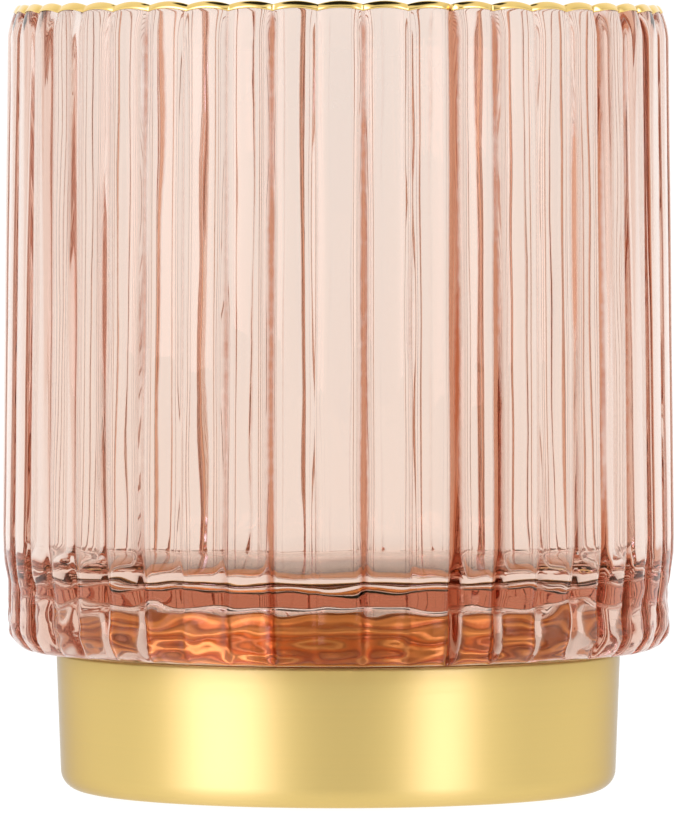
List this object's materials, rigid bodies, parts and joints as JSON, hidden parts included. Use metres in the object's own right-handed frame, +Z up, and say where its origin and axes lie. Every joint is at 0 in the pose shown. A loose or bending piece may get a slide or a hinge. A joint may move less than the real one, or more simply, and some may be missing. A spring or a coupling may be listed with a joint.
{
  "type": "bathroom tumbler",
  "caption": "Upright ribbed glass tumbler with a gilded lip and a thick heel, bonded to a narrower round metal base with a non-slip foot.",
  "frame": {"origin": "middle of the foot, on the surface that the tumbler stands on", "axes": "+Z up along the axis of the glass; -Y is the side that is seen"},
  "size_m": [0.08, 0.08, 0.0935],
  "materials": {
    "rose_glass": "clear rose tint, fire-polished",
    "gold_lustre": "fired gold lustre, glossy",
    "brass_plate": "brass-plated, satin polished",
    "clear_glue": "clear cured adhesive",
    "grey_foam": "matte closed-cell foam"
  },
  "bodies": {
    "root": {"glass_tumbler": "rose_glass", "rim_gilding": "gold_lustre", "glue_disc": "clear_glue", "seat_plate": "brass_plate", "base_cup": "brass_plate", "foot_pad": "grey_foam"}
  },
  "joints": []
}
